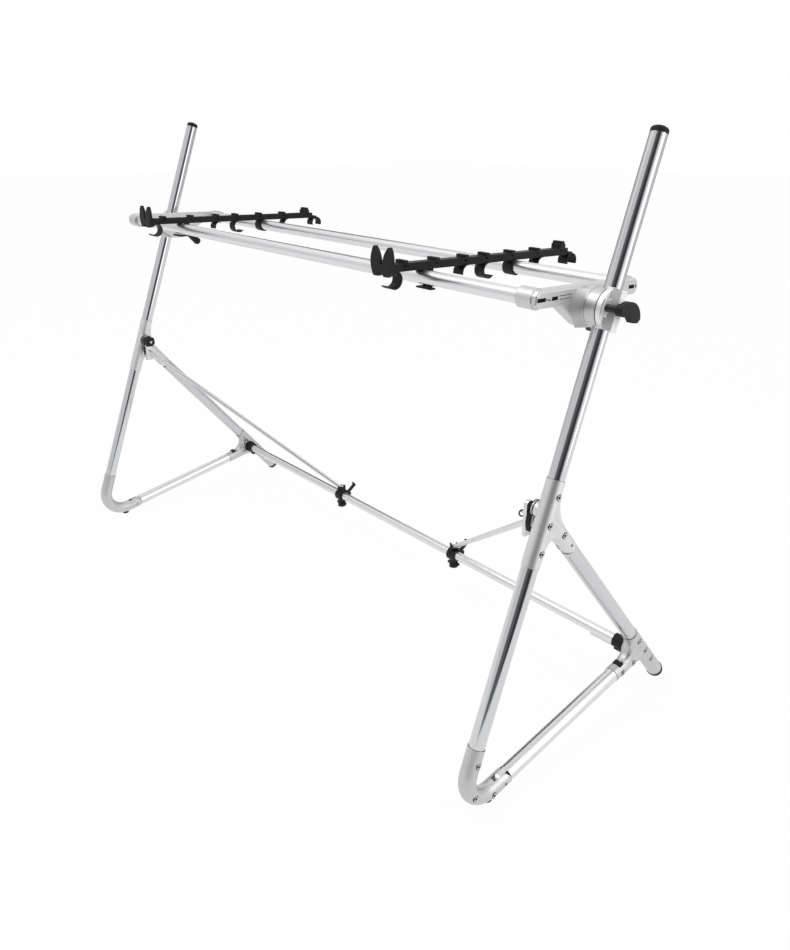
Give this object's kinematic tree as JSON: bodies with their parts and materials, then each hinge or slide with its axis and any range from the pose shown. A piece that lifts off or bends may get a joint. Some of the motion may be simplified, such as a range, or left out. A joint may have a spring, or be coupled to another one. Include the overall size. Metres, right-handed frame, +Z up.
{
  "type": "keyboard stand",
  "caption": "Free-standing keyboard stand with leaning tube side frames, a braced cross tube and a height-adjustable, tilting two-tube bed with sliding black support arms.",
  "frame": {"origin": "centre of the footprint's box on the floor", "axes": "+X to the stand's right, +Y to the rear, away from the player, +Z up"},
  "size_m": [1.377, 0.5374, 0.9769],
  "materials": {
    "polished_tube": "bright polished drawn aluminium tube",
    "satin_tube": "satin anodised aluminium",
    "cast_satin": "bead blasted aluminium casting",
    "machined_bright": "machined bright aluminium",
    "black_plastic": "fine-grained black moulding",
    "black_rubber": "matt black rubber",
    "dark_steel": "blackened steel"
  },
  "bodies": {
    "frame": {"right_upper_upright": "polished_tube", "right_lower_upright": "polished_tube", "right_top_cap": "black_plastic", "right_leg_joint": "cast_satin", "right_elbow": "cast_satin", "right_elbow_pad": "black_rubber", "right_base_knuckle": "satin_tube", "right_base_tube": "satin_tube", "right_strut_knuckle": "satin_tube", "right_rear_strut": "satin_tube", "right_rear_node": "cast_satin", "right_foot_cap": "black_rubber", "right_cross_saddle": "black_plastic", "right_brace_hub": "cast_satin", "right_brace_rod": "satin_tube", "right_brace_clip": "black_plastic", "left_upper_upright": "polished_tube", "left_lower_upright": "polished_tube", "left_top_cap": "black_plastic", "left_leg_joint": "cast_satin", "left_elbow": "cast_satin", "left_elbow_pad": "black_rubber", "left_base_knuckle": "satin_tube", "left_base_tube": "satin_tube", "left_strut_knuckle": "satin_tube", "left_rear_strut": "satin_tube", "left_rear_node": "cast_satin", "left_foot_cap": "black_rubber", "left_cross_saddle": "black_plastic", "left_brace_hub": "cast_satin", "left_brace_rod": "satin_tube", "left_brace_clip": "black_plastic", "frame_screws": "dark_steel", "fold_pins": "dark_steel", "cross_tube": "satin_tube"},
    "bed_carriage": {"right_clamp_yoke": "machined_bright", "left_clamp_yoke": "machined_bright", "right_clamp_cap": "machined_bright", "left_clamp_cap": "machined_bright"},
    "bed": {"right_bed_bracket": "cast_satin", "left_bed_bracket": "cast_satin", "front_bed_tube": "satin_tube", "rear_bed_tube": "satin_tube"},
    "right_knob": {"right_clamp_knob": "black_plastic"},
    "right_tilt_handle": {"right_tilt_lever": "black_plastic"},
    "right_arm": {"right_support_arm": "black_plastic"},
    "right_arm_clamp": {"right_arm_lever": "black_plastic"},
    "right_saddle_lock": {"right_saddle_latch": "satin_tube"},
    "right_brace_lock": {"right_brace_lever": "black_plastic"},
    "right_clip_lock": {"right_clip_lever": "black_plastic"},
    "right_leg_latch": {"right_latch_button": "black_plastic"},
    "left_knob": {"left_clamp_knob": "black_plastic"},
    "left_tilt_handle": {"left_tilt_lever": "black_plastic"},
    "left_arm": {"left_support_arm": "black_plastic"},
    "left_arm_clamp": {"left_arm_lever": "black_plastic"},
    "left_saddle_lock": {"left_saddle_latch": "satin_tube"},
    "left_brace_lock": {"left_brace_lever": "black_plastic"},
    "left_clip_lock": {"left_clip_lever": "black_plastic"},
    "left_leg_latch": {"left_latch_button": "black_plastic"}
  },
  "joints": [
    {"name": "bed_height", "type": "slide", "parent": "frame", "child": "bed_carriage", "axis": [0, 0.342, 0.9397], "range_m": [-0.19, 0.19]},
    {"name": "bed_tilt", "type": "hinge", "parent": "bed_carriage", "child": "bed", "pos_m": [0, -0.01233, 0.73672], "axis": [1, 0, 0], "range_deg": [-15, 20]},
    {"name": "right_knob_turn", "type": "hinge", "parent": "bed_carriage", "child": "right_knob", "pos_m": [0.647, -0.03019, 0.74322], "axis": [1, 0, 0], "range_deg": [-180, 180]},
    {"name": "right_tilt_handle_turn", "type": "hinge", "parent": "bed", "child": "right_tilt_handle", "pos_m": [0.58, -0.01233, 0.73672], "axis": [1, 0, 0], "range_deg": [-35, 60]},
    {"name": "right_arm_slide", "type": "slide", "parent": "bed", "child": "right_arm", "axis": [1, 0, 0], "range_m": [-0.25, 0.14]},
    {"name": "right_arm_clamp_turn", "type": "hinge", "parent": "right_arm", "child": "right_arm_clamp", "pos_m": [0.384, -0.10274, 0.74368], "axis": [1, 0, 0], "range_deg": [0, 70]},
    {"name": "right_saddle_latch_turn", "type": "hinge", "parent": "frame", "child": "right_saddle_lock", "pos_m": [0.616, 0.17556, 0.07863], "axis": [0, -1, 0], "range_deg": [0, 70]},
    {"name": "right_brace_lever_turn", "type": "hinge", "parent": "frame", "child": "right_brace_lock", "pos_m": [0.6225, -0.11357, 0.45857], "axis": [1, 0, 0], "range_deg": [-60, 90]},
    {"name": "right_clip_lever_turn", "type": "hinge", "parent": "frame", "child": "right_clip_lock", "pos_m": [0.198, 0.18856, 0.09483], "axis": [1, 0, 0], "range_deg": [-30, 45]},
    {"name": "right_latch_press", "type": "slide", "parent": "frame", "child": "right_leg_latch", "axis": [0, 0.1736, -0.9848], "range_m": [0, 0.0014], "stiffness_N_per_m": 600, "springref_m": -0.0015},
    {"name": "left_knob_turn", "type": "hinge", "parent": "bed_carriage", "child": "left_knob", "pos_m": [-0.647, -0.03019, 0.74322], "axis": [-1, 0, 0], "range_deg": [-180, 180]},
    {"name": "left_tilt_handle_turn", "type": "hinge", "parent": "bed", "child": "left_tilt_handle", "pos_m": [-0.58, -0.01233, 0.73672], "axis": [1, 0, 0], "range_deg": [-35, 60]},
    {"name": "left_arm_slide", "type": "slide", "parent": "bed", "child": "left_arm", "axis": [-1, 0, 0], "range_m": [-0.25, 0.14]},
    {"name": "left_arm_clamp_turn", "type": "hinge", "parent": "left_arm", "child": "left_arm_clamp", "pos_m": [-0.384, -0.10274, 0.74368], "axis": [1, 0, 0], "range_deg": [0, 70]},
    {"name": "left_saddle_latch_turn", "type": "hinge", "parent": "frame", "child": "left_saddle_lock", "pos_m": [-0.616, 0.17556, 0.07863], "axis": [0, 1, 0], "range_deg": [0, 70]},
    {"name": "left_brace_lever_turn", "type": "hinge", "parent": "frame", "child": "left_brace_lock", "pos_m": [-0.6225, -0.11357, 0.45857], "axis": [1, 0, 0], "range_deg": [-60, 90]},
    {"name": "left_clip_lever_turn", "type": "hinge", "parent": "frame", "child": "left_clip_lock", "pos_m": [-0.198, 0.18856, 0.09483], "axis": [1, 0, 0], "range_deg": [-30, 45]},
    {"name": "left_latch_press", "type": "slide", "parent": "frame", "child": "left_leg_latch", "axis": [0, 0.1736, -0.9848], "range_m": [0, 0.0014], "stiffness_N_per_m": 600, "springref_m": -0.0015}
  ]
}
